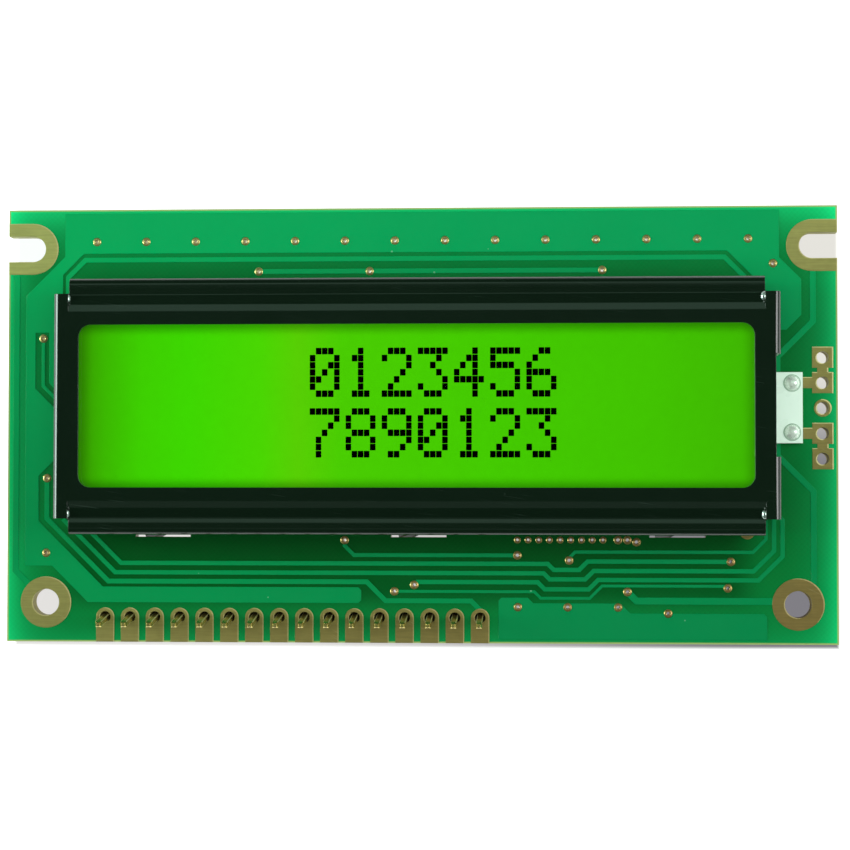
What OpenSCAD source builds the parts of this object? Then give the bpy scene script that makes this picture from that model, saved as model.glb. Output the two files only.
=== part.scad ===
// Character LCD module: a circuit board that carries a framed liquid crystal cell with an
// LED backlight, two rows of sixteen characters, and a row of header pins.
// Millimetres. The module lies on its back: +X runs along the text, +Y to the top edge of
// the board, +Z out of the display. The origin is the centre of the board's front face.

/* [Circuit board] */
// Length of the board along the text
board_l = 84; // [82:0.5:90]
// Width of the board from its top edge to its bottom edge
board_w = 44; // [42.5:0.5:48]
// Thickness of the laminate
board_t = 1.6; // [1:0.1:2]
// Thickness of the copper, its gold or its solder mask on each face
copper_t = 0.05; // [0.03:0.01:0.07]
// Wall of the copper that lines each drilled hole
plating_t = 0.05; // [0.03:0.01:0.06]

/* [Mounting holes] */
// Distance between the two rows of mounting holes' centres, left to right
hole_span_x = 76; // [75:0.5:77]
// Distance between the lower holes' centres and the slots' centre line
hole_span_y = 36; // [35:0.5:36.5]
// Diameter of the two lower holes
hole_d = 2.7; // [2.5:0.1:3.2]
// Diameter of the gold ring round each lower hole
ring_d = 5.2; // [4.6:0.1:5.4]
// Width of the two upper slots, which are open at the board's ends
slot_w = 2.6; // [2.4:0.1:3]
// Distance from the board's end to the centre of the slot's round end
slot_depth = 2.5; // [2:0.1:3]
// Width of the gold border round each slot
slot_border = 1.3; // [1:0.1:1.4]

/* [Header] */
// Number of header pins
pin_count = 16; // [14:1:16]
// Distance between neighbouring pins
pin_pitch = 2.54; // [2.5:0.01:2.6]
// Distance from the board's left end to the first pin
pin_first = 10.1; // [9.8:0.1:10.6]
// Distance from the board's bottom edge to the row of pins
pin_edge = 2.55; // [2.3:0.05:2.8]
// Diameter of the plated header holes
pin_hole_d = 1.1; // [1:0.05:1.2]
// Width of each gold header finger
finger_w = 1.85; // [1.6:0.05:2]
// Side of the square pins
pin_side = 0.6; // [0.5:0.02:0.64]
// Space that stays between a pin's corner and the wall of its hole
pin_clearance = 0.05; // [0.03:0.01:0.08]
// How far the pins stand out above the board's front face
pin_front = 3.8; // [3:0.1:5]
// Length of the pins' tails behind the insulator
pin_tail = 2.8; // [2:0.1:3]
// Length of the bevel on each end of a pin
pin_bevel = 0.25; // [0.1:0.05:0.4]
// Thickness and width of the black strip that holds the pins
insulator_side = 2.5; // [2.2:0.1:2.6]

/* [Bezel] */
// Height of the bezel's front face above the board
bezel_h = 8.3; // [7.8:0.1:9]
// Length of the bezel over its end walls
bezel_l = 71.2; // [70.4:0.1:71.6]
// Width of the bezel over its long walls
bezel_w = 25.3; // [24.9:0.1:25.7]
// Distance from the board's middle up to the display's centre line
display_y = 1.65; // [1.4:0.05:1.9]
// Thickness of the steel sheet
sheet_t = 0.3; // [0.25:0.05:0.4]
// Radius of the bends, on the outside of the sheet
bend_r = 0.7; // [0.5:0.05:0.8]
// Width of the face at each end of the window
window_border = 2.55; // [2.4:0.05:3]
// Width of the face above and below the window
window_margin = 2; // [1.9:0.1:2.6]
// Radius of the window's corners
window_r = 1.2; // [0.8:0.1:2]
// Width of the two lower ledges, out to the faces of the long walls
ledge_w = 1.75; // [1.6:0.05:1.9]
// Width of the slope between the face and each ledge
slope_w = 0.9; // [0.7:0.1:1]
// How far the ledges lie below the face
ledge_drop = 0.5; // [0.4:0.05:0.8]
// Width of the soft shoulder between the face and each slope
shoulder_w = 0.7; // [0.6:0.1:0.8]
// How far the shoulder falls away from the face
shoulder_drop = 0.08; // [0.04:0.02:0.12]
// Width of the shallow valley at the foot of each slope
valley_w = 0.6; // [0.4:0.1:0.6]
// Depth of the valley below the ledge
valley_drop = 0.06; // [0.02:0.02:0.08]
// Distance from each end wall to the ends of the ledges and long walls
ledge_inset = 1.5; // [1.4:0.05:1.8]
// Distance from each long wall to the edges of the end walls
end_wall_inset = 1.6; // [1.5:0.05:1.8]
// Diameter of the drawn bead that closes each end of a slope
end_bead_d = 0.5; // [0.4:0.05:0.6]
// Width of the opening in the right end wall for the backlight's ear
ear_gap_w = 10; // [9:0.5:12]

/* [Bezel tabs] */
// Width of each fixing tab
tab_w = 4.4; // [3:0.1:4.8]
// Distance between neighbouring tabs
tab_span = 26; // [24:0.5:28]
// How far the twisted tabs stand out behind the board
tab_out = 1.5; // [1:0.1:2]
// Angle through which each tab is twisted behind the board
tab_twist = 28; // [15:1:40]
// Length of the board's slot for a tab
tab_slot_l = 5.6; // [5.2:0.1:6]
// Width of the board's slot for a tab
tab_slot_w = 1; // [0.8:0.1:1.2]

/* [Display cell] */
// Thickness of each glass plate
glass_t = 1.1; // [0.7:0.1:1.2]
// Thickness of each polariser film
polariser_t = 0.2; // [0.1:0.05:0.25]
// Thickness of the glue under a polariser
glue_t = 0.02; // [0.01:0.01:0.04]
// Gap between the two glass plates
cell_gap = 0.1; // [0.06:0.02:0.2]
// Width of the seal round the liquid crystal
seal_w = 0.5; // [0.4:0.1:0.8]
// Width of the contact ledge along each long side of the front glass
contact_w = 2; // [1.9:0.1:2.1]
// Space between the front glass and the bezel's walls
glass_clearance = 0.25; // [0.15:0.05:0.35]
// Distance from the edge of the cell to the edge of each polariser
polariser_inset = 0.3; // [0.1:0.1:0.5]
// Space between the bezel's ledges and the front glass
press_gap = 0.05; // [0.02:0.01:0.1]

/* [Characters] */
// Characters in a row
char_columns = 16; // [8:1:16]
// Rows of characters
char_rows = 2; // [1:1:2]
// Width of a character
char_w = 2.95; // [2.6:0.05:3.2]
// Height of a character with its cursor line
char_h = 5.55; // [5:0.05:5.8]
// Distance between the columns
char_pitch_x = 3.55; // [3.5:0.05:3.9]
// Distance between the rows
char_pitch_y = 5.95; // [5.9:0.05:6.6]
// Thickness of the dot electrodes
electrode_t = 0.02; // [0.01:0.01:0.04]

/* [Contact strips] */
// Width of the elastomer strips
strip_w = 1.5; // [1.2:0.1:1.7]
// Distance from the ends of the ledges to the ends of the elastomer strips
strip_inset = 2.1; // [1.6:0.1:4]
// Distance between the gold contacts under a strip
contact_pitch = 1.6; // [1.2:0.1:2]
// Width of one gold contact
contact_finger_w = 0.8; // [0.5:0.1:0.9]

/* [Backlight] */
// Space between the rear polariser and the diffuser
backlight_gap = 0.05; // [0.02:0.01:0.1]
// Space between the backlight's frame and the edge of the rear glass above it
frame_inset = 0.2; // [0.1:0.05:0.4]
// Wall of the white frame
frame_wall = 1.4; // [1:0.1:1.6]
// Clearance between the frame and what lies in it
frame_clearance = 0.1; // [0.05:0.05:0.2]
// Thickness of the diffuser sheet
diffuser_t = 0.15; // [0.1:0.05:0.3]
// Thickness of the backlight's white board
light_board_t = 1; // [0.8:0.1:1.2]
// Width of the ear that the board puts out through the bezel
ear_w = 7.1; // [7:0.1:8]
// How far the ear reaches past the bezel
ear_out = 2.8; // [2.5:0.1:3]
// Light emitters in each row
led_columns = 12; // [8:1:13]
// Distance between the emitters in a row
led_pitch = 5; // [4:0.1:5]
// Distance between the two rows of emitters
led_row_gap = 8; // [6:0.5:10]
// Length, width and height of an emitter
led_size = [1.6, 0.8, 0.7];
// Space between the emitters and the light guide
led_gap = 0.2; // [0.1:0.05:0.3]

/* [Backlight terminals] */
// Distance from the board's right end to the column of terminal holes
terminal_edge = 1.5; // [1.4:0.05:1.7]
// Distance between the terminal holes
terminal_pitch = 2.54; // [2.5:0.01:2.6]
// Diameter of the terminal holes
terminal_d = 1.2; // [1:0.05:1.3]
// Side of a square terminal pad
terminal_pad = 2.1; // [1.9:0.05:2.25]
// Width of the copper between the pads and out to the ear
terminal_neck = 1.1; // [0.9:0.05:1.3]
// Diameter of the ring round the middle hole
terminal_ring = 1.75; // [1.7:0.05:2]
// Distance from the bezel's end wall to the ear's two leads
lead_out = 1.75; // [1.65:0.05:1.9]
// Distance between the two leads
lead_span = 4.9; // [4.6:0.1:5.1]
// Diameter of the leads
lead_d = 0.6; // [0.4:0.05:0.7]
// Space between a lead and its hole
lead_clearance = 0.15; // [0.1:0.05:0.2]
// Diameter of the solder joints on the ear
joint_d = 1.7; // [1.5:0.1:1.8]
// Height of the solder joints
joint_h = 0.55; // [0.4:0.05:0.8]

/* [Vias] */
// Diameter of the gold bead of a signal via
via_d = 0.7; // [0.6:0.02:0.8]
// Diameter of the gold bead of a ground via
ground_via_d = 0.86; // [0.76:0.02:0.94]
// Diameter of the drilled hole that a via lines
via_drill = 0.46; // [0.42:0.02:0.5]
// Diameter of the hole left in the via
via_hole = 0.34; // [0.26:0.02:0.38]
// Height of the bead on each face
via_bead = 0.09; // [0.07:0.01:0.12]
// Diameter of the test pad beside the bezel's lower right corner
test_pad_d = 1.5; // [1.2:0.1:1.6]

/* [Rear components] */
// Diameter of the epoxy drop over the controller chip
controller_d = 16.5; // [14:0.5:17]
// Diameter of the epoxy drop over the driver chip
driver_d = 14.5; // [12:0.5:16]
// Height of the epoxy drops
drop_h = 1.7; // [1.2:0.1:1.9]
// Space between the edge of a drop and the raised tracks, measured on the diameter
drop_margin = 0.1; // [0.05:0.05:0.3]
// Length, width and height of the chip resistors and capacitors
chip_size = [2, 1.25, 0.55];
// Length of the metal cap on each end of a chip
chip_cap = 0.4; // [0.3:0.05:0.5]
// How far a solder land reaches past the chip
land_margin = 0.3; // [0.2:0.05:0.4]

/* [Hidden] */
$fn = 48;
eps = 0.01;

// Distances in from the board's left, right, top and bottom edges
function left(d) = -board_l / 2 + d;
function right(d) = board_l / 2 - d;
function top(d) = board_w / 2 - d;
function bottom(d) = -board_w / 2 + d;

// Heights, from the board's front face up
rear_z = -board_t;
ledge_under_z = bezel_h - ledge_drop - sheet_t;
glass_top_z = ledge_under_z - valley_drop - press_gap;
front_glass_z = glass_top_z - glass_t;
rear_glass_top_z = front_glass_z - cell_gap;
rear_glass_z = rear_glass_top_z - glass_t;
rear_polariser_z = rear_glass_z - glue_t - polariser_t;
backlight_top_z = rear_polariser_z - backlight_gap;
guide_top_z = backlight_top_z - diffuser_t;
light_board_top_z = copper_t + light_board_t;
guide_z = light_board_top_z + led_size.z + led_gap;

// Middle of the bezel's sheet, and the radii of its bends there
face_z = bezel_h - sheet_t / 2;
ledge_z = face_z - ledge_drop;
skirt_y = bezel_w / 2 - sheet_t / 2;
bend_mid_r = bend_r - sheet_t / 2;
soft_r = 2;

// Sizes that follow from what surrounds them
face_w = bezel_w - 2 * (ledge_w + slope_w);
ledge_l = bezel_l - 2 * ledge_inset;
end_wall_w = bezel_w - 2 * end_wall_inset;
window_l = bezel_l - 2 * window_border;
window_w = face_w - 2 * window_margin;
strip_l = ledge_l - 2 * strip_inset;
front_glass_l = ledge_l - 2 * glass_clearance;
front_glass_w = bezel_w - 2 * sheet_t - 2 * glass_clearance;
rear_glass_w = front_glass_w - 2 * contact_w;
polariser_l = front_glass_l - 2 * polariser_inset;
polariser_w = rear_glass_w - 2 * polariser_inset;
frame_l = front_glass_l - 2 * frame_inset;
frame_w = rear_glass_w - 2 * frame_inset;
pocket_l = frame_l - 2 * frame_wall;
pocket_w = frame_w - 2 * frame_wall;
strip_y = front_glass_w / 2 - contact_w / 2;
lead_x = bezel_l / 2 + lead_out;
lead_hole_d = lead_d + 2 * lead_clearance;
terminal_x = right(terminal_edge);
pin_row_y = bottom(pin_edge);

// The header leans towards the bottom edge as far as its pins' play in the holes allows
pin_play = sqrt(pow(pin_hole_d / 2, 2) - pow(pin_side / 2, 2)) - pin_side / 2 - pin_clearance;
header_lean = atan(pin_play / (board_t / 2 + copper_t));
insulator_top = (board_t / 2 + copper_t + insulator_side / 2 * sin(header_lean))
    / cos(header_lean);

// Vias of the ground strip along the top edge, and the close row of signal vias
top_vias = [for (i = [-6.5 : 6.5]) [5.08 * i + 0.1, top(3.3)]];
signal_vias = [for (i = [0 : 8]) [9.95 + 1.075 * i, bottom(10.4)]];
// Vias that stand by themselves
single_vias = [
    [-16.3, top(6.4)], [-5, top(6.4)], [18.5, top(6.4)], [right(6.4), top(5.8)],
    [left(3.6), 8.85], [left(4.05), -5.4], [left(4), bottom(9)],
    [-7.5, bottom(10.35)], [-2.45, bottom(5.2)], [-0.45, bottom(5.85)],
    [20.05, bottom(10.4)], [21, bottom(10.4)], [21.9, bottom(10.2)],
    [9.95, bottom(8.85)], [15.15, bottom(8.35)],
    [10, bottom(3.65)], [15, bottom(3.65)], [20.05, bottom(3.65)],
    [21, bottom(5.2)], [25.05, bottom(3.05)],
    [right(10.7), bottom(8.25)], [right(11), bottom(5.6)]
];
ground_vias = concat(top_vias, single_vias);
test_pad_at = [right(9.05), bottom(11.25)];

// Front tracks: width, then the points of the centre line
front_lines = [
    [0.5, [[left(6.15), 9], [left(6.15), top(6.9)], [left(7.9), top(5.15)],
        [right(11.25), top(5.15)], [right(8.6), top(7.8)], [right(8.6), top(9)]]],
    [0.5, [[-16.3, top(6.4)], [18.5, top(6.4)]]],
    [0.6, [[left(0.85), top(6)], [left(0.85), bottom(7.2)], [left(2.4), bottom(5.65)]]],
    [0.6, [[right(2.45), top(6)], [right(2.45), top(11.65)], [right(6), top(15.2)],
        [right(6), -3.15], [right(2.45), -6.7], [right(2.45), bottom(6)]]],
    [0.35, [[left(3.6), 8.85], [left(3.6), 4], [left(5.7), 1.9]]],
    [0.5, [[left(4.05), -5.4], [left(4.05), bottom(12.5)], [left(10.4), bottom(6.15)],
        [-5.25, bottom(6.15)], [-3.35, bottom(4.25)], [5.3, bottom(4.25)],
        [6.2, bottom(3.35)]]],
    [0.45, [[left(5.7), bottom(12.45)], [left(11.1), bottom(7.05)], [12.6, bottom(7.05)],
        [13.2, bottom(6.45)], [16.75, bottom(6.45)], [17.6, bottom(7.3)],
        [right(8.45), bottom(7.3)], [right(6.4), bottom(9.35)], [right(6.4), bottom(12.6)]]],
    [0.45, [[left(7.7), bottom(12)], [left(11.7), bottom(8)], [13, bottom(8)],
        [13.6, bottom(7.4)], [16.15, bottom(7.4)], [17, bottom(8.25)],
        [right(10.7), bottom(8.25)]]],
    [0.4, [[-7.5, bottom(10.35)], [-7.5, bottom(9.8)], [-6.55, bottom(8.85)],
        [9.95, bottom(8.85)]]],
    [0.45, [[-0.45, bottom(5.85)], [-0.15, bottom(6.15)], [12, bottom(6.15)],
        [12.7, bottom(5.45)], [17.1, bottom(5.45)], [18.05, bottom(6.4)],
        [right(7.95), bottom(6.4)], [right(5.55), bottom(8.8)],
        [right(5.55), bottom(12.4)], [right(6.4), bottom(13.25)]]],
    [0.3, [[-2.45, bottom(5.2)], [11.65, bottom(5.2)], [12.3, bottom(4.55)],
        [17.2, bottom(4.55)], [18.45, bottom(5.8)], [right(11.2), bottom(5.8)],
        [right(11), bottom(5.6)]]],
    [0.35, [[15.15, bottom(8.35)], [15.15, bottom(8.6)], [15.75, bottom(9.2)],
        [right(8.5), bottom(9.2)], [right(7.2), bottom(10.5)], [right(7.2), bottom(13)]]],
    [0.7, [[21, bottom(5.2)], [21.9, bottom(4.3)], [right(6), bottom(4.3)]]]
];
// Copper areas of the front: the ground plane that runs round three sides, and the
// plane along the bottom edge
front_planes = [
    [[left(5.8), top(0.4)], [right(5.8), top(0.4)], [right(5.8), top(5.2)],
        [right(3.6), top(7.4)], [right(3.6), top(11)], [right(5.1), top(12.5)],
        [right(7.6), top(12.5)], [right(7.6), top(7.9)], [right(11), top(4.5)],
        [left(7.75), top(4.5)], [left(5.6), top(6.65)], [left(5.6), 2.9],
        [left(4.2), 4.3], [left(4.2), 9.45], [left(2.8), 9.45], [left(2.8), 3.75],
        [left(5.6), 0.95], [left(5.6), -2.75], [left(3.2), -5.15],
        [left(3.2), bottom(12.25)], [left(9.85), bottom(5.6)], [-6.1, bottom(5.6)],
        [-5.8, bottom(5.3)], [-5.8, bottom(4.3)], [-6.1, bottom(4)],
        [left(8.3), bottom(4)], [left(4.6), bottom(7.7)], [left(1.8), bottom(7.7)],
        [left(1.8), top(8.8)], [left(5.8), top(4.8)]],
    [[8.05, bottom(0.4)], [8.05, bottom(4.3)], [8.35, bottom(4.6)], [11, bottom(4.6)],
        [11.55, bottom(4.05)], [20.3, bottom(4.05)], [21.3, bottom(3.05)],
        [right(7.4), bottom(3.05)], [right(7.1), bottom(2.7)], [right(7.1), bottom(0.4)]]
];

// Rear tracks fan in from the header to the controller, in steps of this pitch
fan_pitch = 0.95;
fan_first = 2;
fan_last = pin_count - 3;
controller_at = [left(pin_first) + pin_pitch * (pin_count - 1) / 2, display_y + 1.6];
driver_at = [18, display_y + 1.6];
bus_pitch = 1.1;
bus_lines = 8;
// Centres of the chip resistors and the chip capacitors on the rear face
resistor_at = [for (i = [0 : 4]) [9.5 + 3 * i, bottom(13.7)]];
capacitor_at = [[left(9.5), display_y + 6], [left(9.5), display_y + 2.5], [3, display_y - 7.5]];

// Unit vector from one point to the next
function heading(a, b) = (b - a) / norm(b - a);
// Left-hand normal of a heading
function normal(d) = [-d.y, d.x];
// Sideways offset at point i of an open path that keeps the strip's width at a bend
function mitre(path, i, half) =
    let (last = len(path) - 1,
        before = heading(path[max(i - 1, 0)], path[max(i, 1)]),
        after = heading(path[min(i, last - 1)], path[min(i + 1, last)]),
        n1 = normal(before),
        n2 = normal(after))
    (n1 + n2) * half / (1 + n1 * n2);
// Outline of a strip of one width along a path
function strip_outline(path, width) = concat(
    [for (i = [0 : len(path) - 1]) path[i] + mitre(path, i, width / 2)],
    [for (i = [len(path) - 1 : -1 : 0]) path[i] - mitre(path, i, width / 2)]);
// Points of an arc that rounds the corner b of a path a, b, c
function corner_arc(a, b, c, r, steps = 6) =
    let (d1 = heading(a, b),
        d2 = heading(b, c),
        turn = acos(d1 * d2),
        side = sign(d1.x * d2.y - d1.y * d2.x),
        centre = b - d1 * r * tan(turn / 2) + normal(d1) * r * side)
    [for (k = [0 : steps]) let (t = turn * k / steps)
        centre + side * r * (d1 * sin(t) * side - normal(d1) * cos(t))];
// A path with every inner corner rounded by its own radius
function rounded_path(path, radii) = concat([path[0]],
    [for (i = [1 : len(path) - 2])
        each corner_arc(path[i - 1], path[i], path[i + 1], radii[i - 1])],
    [path[len(path) - 1]]);

module at_each(points) {
    for (p = points) translate([p.x, p.y, 0]) children();
}

// A plate on the XY plane, centred on the display
module display_plate(l, w, z, t) {
    translate([0, display_y, z + t / 2]) cube([l, w, t], center = true);
}

module rounded_rectangle(l, w, r) {
    square([l - 2 * r, w], center = true);
    square([l, w - 2 * r], center = true);
    for (x = [-1, 1], y = [-1, 1])
        translate([x * (l / 2 - r), y * (w / 2 - r)]) circle(r);
}

// Plan of a slot that is open at one end of the board
module open_slot(side, half) {
    translate([side * right(slot_depth), hole_span_y / 2]) circle(half);
    translate([side * right(slot_depth / 2 - eps), hole_span_y / 2])
        square([slot_depth + 2 * eps, 2 * half], center = true);
}

module lower_holes() {
    for (x = [-1, 1]) translate([x * hole_span_x / 2, -hole_span_y / 2, 0]) children();
}

module header_holes() {
    for (i = [0 : pin_count - 1])
        translate([left(pin_first) + i * pin_pitch, pin_row_y, 0]) children();
}

module terminal_holes(which = [-2 : 2]) {
    for (k = which) translate([terminal_x, display_y + k * terminal_pitch, 0]) children();
}

module lead_places() {
    for (k = [-1, 1]) translate([lead_x, display_y + k * lead_span / 2, 0]) children();
}

module tab_places() {
    for (x = [-1 : 1], y = [-1, 1])
        translate([x * tab_span, display_y + y * skirt_y, 0]) children();
}

module drill(d) {
    translate([0, 0, rear_z - 1]) cylinder(d = d, h = board_t + 2);
}

// Copper lining of a hole from face to face
module barrel(d) {
    translate([0, 0, rear_z - copper_t])
        cylinder(d = d + 2 * plating_t, h = board_t + 2 * copper_t);
}

module circuit_board() {
    color("forestgreen") difference() {
        translate([-board_l / 2, -board_w / 2, rear_z]) cube([board_l, board_w, board_t]);
        lower_holes() drill(hole_d + 2 * plating_t);
        header_holes() drill(pin_hole_d + 2 * plating_t);
        terminal_holes() drill(terminal_d + 2 * plating_t);
        lead_places() drill(lead_hole_d + 2 * plating_t);
        at_each(ground_vias) drill(via_drill);
        at_each(signal_vias) drill(via_drill);
        for (side = [-1, 1]) translate([0, 0, rear_z - 1])
            linear_extrude(board_t + 2) open_slot(side, slot_w / 2 + plating_t);
        tab_places() translate([0, 0, rear_z / 2])
            cube([tab_slot_l, tab_slot_w, board_t + 2], center = true);
    }
}

// Plan of the gold on either face round the holes and slots, which tracks stop at
module fixing_plan() {
    lower_holes() circle(d = ring_d);
    for (side = [-1, 1]) open_slot(side, slot_w / 2 + slot_border);
}

module finger_plan() {
    header_holes() {
        circle(d = finger_w);
        translate([-finger_w / 2, -pin_edge]) square([finger_w, pin_edge]);
    }
}

module terminal_plan() {
    for (side = [-1, 1]) {
        terminal_holes([side, 2 * side]) square(terminal_pad, center = true);
        translate([terminal_x - terminal_neck / 2,
            display_y + (1.5 * side - 0.5) * terminal_pitch])
            square([terminal_neck, terminal_pitch]);
        translate([lead_x, display_y + side * terminal_pitch - terminal_neck / 2])
            square([terminal_x - lead_x, terminal_neck]);
    }
    lead_places() circle(d = joint_d);
    translate([terminal_x, display_y]) circle(d = terminal_ring);
}

module contact_plan() {
    count = floor((strip_l - contact_finger_w) / contact_pitch / 2);
    for (side = [-1, 1], i = [-count : count])
        translate([i * contact_pitch, display_y + side * strip_y])
            square([contact_finger_w, strip_w], center = true);
}

// What every copper track on a face keeps out of: vias, tab slots and its own pads
module copper_keepout() {
    at_each(ground_vias) circle(d = ground_via_d);
    at_each(signal_vias) circle(d = via_d);
    fixing_plan();
    tab_places() square([tab_slot_l + 0.4, tab_slot_w + 0.4], center = true);
}

module front_tracks() {
    color("limegreen") linear_extrude(copper_t) difference() {
        union() {
            for (line = front_lines) polygon(strip_outline(line[1], line[0]));
            for (plane = front_planes) polygon(plane);
        }
        copper_keepout();
        finger_plan();
        terminal_plan();
        translate(test_pad_at) circle(d = test_pad_d);
        for (side = [-1, 1]) translate([0, display_y + side * strip_y])
            square([strip_l + 1, strip_w + 0.4], center = true);
    }
}

// Rear tracks from one header pin to the controller: up, across at 45 degrees, and up
function fan_line(i) =
    let (start = left(pin_first) + i * pin_pitch,
        goal = controller_at.x + (i - (pin_count - 1) / 2) * fan_pitch,
        bend = bottom(4.5))
    [[start, pin_row_y], [start, bend], [goal, bend + abs(goal - start)],
        [goal, controller_at.y]];

module rear_plane_plan() {
    polygon([[left(5.8), top(0.4)], [right(5.8), top(0.4)], [right(5.8), top(5.2)],
        [right(8), top(7)], [left(8), top(7)], [left(5.8), top(4.8)]]);
    polygon([[right(19), bottom(0.4)], [right(7.1), bottom(0.4)], [right(7.1), bottom(6)],
        [right(5.4), bottom(7.7)], [right(3), bottom(7.7)], [right(3), bottom(16)],
        [right(7), bottom(16)], [right(7), bottom(9)], [right(17), bottom(9)],
        [right(19), bottom(7)]]);
    polygon([[left(2), bottom(7.7)], [left(4.6), bottom(7.7)], [left(8.3), bottom(4)],
        [left(12.4), bottom(4)], [left(12.4), bottom(8.7)], [left(6), bottom(15)],
        [left(6), top(12)], [left(2), top(12)]]);
}

module rear_line_plan() {
    for (i = [fan_first : fan_last]) polygon(strip_outline(fan_line(i), 0.35));
    for (k = [0 : bus_lines - 1])
        translate([controller_at.x, controller_at.y + (k - (bus_lines - 1) / 2) * bus_pitch
            - 0.175])
            square([driver_at.x - controller_at.x, 0.35]);
    for (p = resistor_at) polygon(strip_outline(
        [p + [0, 1], [p.x, driver_at.y - 4.6 - abs(p.x - driver_at.x) / 2],
            [driver_at.x + (p.x - driver_at.x) / 2, driver_at.y - 4.6],
            driver_at + [(p.x - driver_at.x) / 2, 0]], 0.35));
    for (p = resistor_at) translate(p - [0.175, 2.4]) square([0.35, 2]);
    translate([resistor_at[0].x - 0.3, resistor_at[0].y - 2.7])
        square([resistor_at[4].x - resistor_at[0].x + 0.6, 0.5]);
    for (p = [capacitor_at[0], capacitor_at[1]])
        translate(p - [0, 0.25]) square([controller_at.x - p.x, 0.5]);
    translate(capacitor_at[2] - [0.25, 0]) square([0.5, controller_at.y - capacitor_at[2].y - 4]);
}

// A solder land for each end of a chip that lies along the given direction
module chip_ends(turn) {
    rotate(turn) for (side = [-1, 1])
        translate([side * (chip_size.x - chip_cap) / 2, 0]) children();
}

module land_plan() {
    land = [chip_cap + 2 * land_margin, chip_size.y + 2 * land_margin];
    at_each(resistor_at) chip_ends(90) square(land, center = true);
    at_each(capacitor_at) chip_ends(0) square(land, center = true);
}

module header_ring_plan() {
    header_holes() circle(d = finger_w);
}

module rear_tracks() {
    color("limegreen") translate([0, 0, rear_z - copper_t]) linear_extrude(copper_t)
        difference() {
            union() {
                rear_line_plan();
                rear_plane_plan();
            }
            copper_keepout();
            land_plan();
            header_ring_plan();
            terminal_holes() circle(d = terminal_ring);
            lead_places() circle(d = joint_d);
            translate(controller_at) circle(d = controller_d + drop_margin);
            translate(driver_at) circle(d = driver_d + drop_margin);
        }
}

// A plated hole with a bead on each face
module via(bead_d) {
    difference() {
        union() {
            translate([0, 0, rear_z]) cylinder(d = via_drill, h = board_t);
            cylinder(d1 = bead_d, d2 = via_drill, h = via_bead);
            translate([0, 0, rear_z - via_bead])
                cylinder(d1 = via_drill, d2 = bead_d, h = via_bead);
        }
        drill(via_hole);
    }
}

module plated_vias() {
    color("goldenrod") {
        at_each(ground_vias) via(ground_via_d);
        at_each(signal_vias) via(via_d);
        translate(test_pad_at) cylinder(d = test_pad_d, h = copper_t);
    }
}

module mounting_rings() {
    color("darkkhaki") {
        lower_holes() difference() {
            union() {
                barrel(hole_d);
                for (z = [0, rear_z - copper_t]) translate([0, 0, z])
                    cylinder(d = ring_d, h = copper_t);
            }
            drill(hole_d);
        }
        for (side = [-1, 1]) intersection() {
            difference() {
                union() {
                    for (z = [0, rear_z - copper_t]) translate([0, 0, z])
                        linear_extrude(copper_t) open_slot(side, slot_w / 2 + slot_border);
                    translate([0, 0, rear_z - copper_t]) linear_extrude(board_t + 2 * copper_t)
                        open_slot(side, slot_w / 2 + plating_t);
                }
                translate([0, 0, rear_z - 1]) linear_extrude(board_t + 2)
                    open_slot(side, slot_w / 2);
            }
            cube([board_l, board_w, 4 * board_t], center = true);
        }
    }
}

module header_pads() {
    color("darkkhaki") difference() {
        union() {
            linear_extrude(copper_t) finger_plan();
            header_holes() barrel(pin_hole_d);
            translate([0, 0, rear_z - copper_t]) linear_extrude(copper_t) header_ring_plan();
        }
        header_holes() drill(pin_hole_d);
    }
}

module terminal_pads() {
    color("darkkhaki") difference() {
        union() {
            linear_extrude(copper_t) terminal_plan();
            terminal_holes() barrel(terminal_d);
            lead_places() barrel(lead_hole_d);
            translate([0, 0, rear_z - copper_t]) linear_extrude(copper_t) {
                terminal_holes() circle(d = terminal_ring);
                lead_places() circle(d = joint_d);
            }
        }
        terminal_holes() drill(terminal_d);
        lead_places() drill(lead_hole_d);
    }
}

module strip_contacts() {
    color("gold") linear_extrude(copper_t) contact_plan();
}

// Middle line of the sheet from the edge of the flat face out to the foot of a long wall
bezel_line = [
    [face_w / 2 - shoulder_w, face_z],
    [face_w / 2, face_z - shoulder_drop],
    [face_w / 2 + slope_w, ledge_z - valley_drop],
    [face_w / 2 + slope_w + valley_w, ledge_z],
    [skirt_y, ledge_z],
    [skirt_y, copper_t]
];
bezel_line_radii = [soft_r, bend_mid_r, bend_mid_r, soft_r, bend_mid_r];

// Section of the bezel across the display: the face, its slopes, the ledges and the walls
module long_section() {
    count = len(bezel_line);
    path = concat([for (i = [count - 1 : -1 : 0]) [-bezel_line[i].x, bezel_line[i].y]],
        bezel_line);
    radii = concat([for (i = [count - 2 : -1 : 0]) bezel_line_radii[i]], bezel_line_radii);
    polygon(strip_outline(rounded_path(path, radii), sheet_t));
}

// Section of the bezel along the display: the face and the two end walls
module end_section() {
    x = bezel_l / 2 - sheet_t / 2;
    path = [[-x, copper_t], [-x, face_z], [x, face_z], [x, copper_t]];
    polygon(strip_outline(rounded_path(path, [bend_mid_r, bend_mid_r]), sheet_t));
}

// Rounded bead that closes the end of a slope against the face's end
module slope_end() {
    upper = bezel_line[1];
    lower = bezel_line[2];
    translate([0, upper.x, upper.y]) sphere(d = end_bead_d);
    translate([0, lower.x, lower.y]) sphere(d = end_bead_d);
    translate([0, upper.x, upper.y])
        rotate([atan2(upper.x - lower.x, lower.y - upper.y), 0, 0])
            cylinder(d = end_bead_d, h = norm(lower - upper));
}

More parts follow.
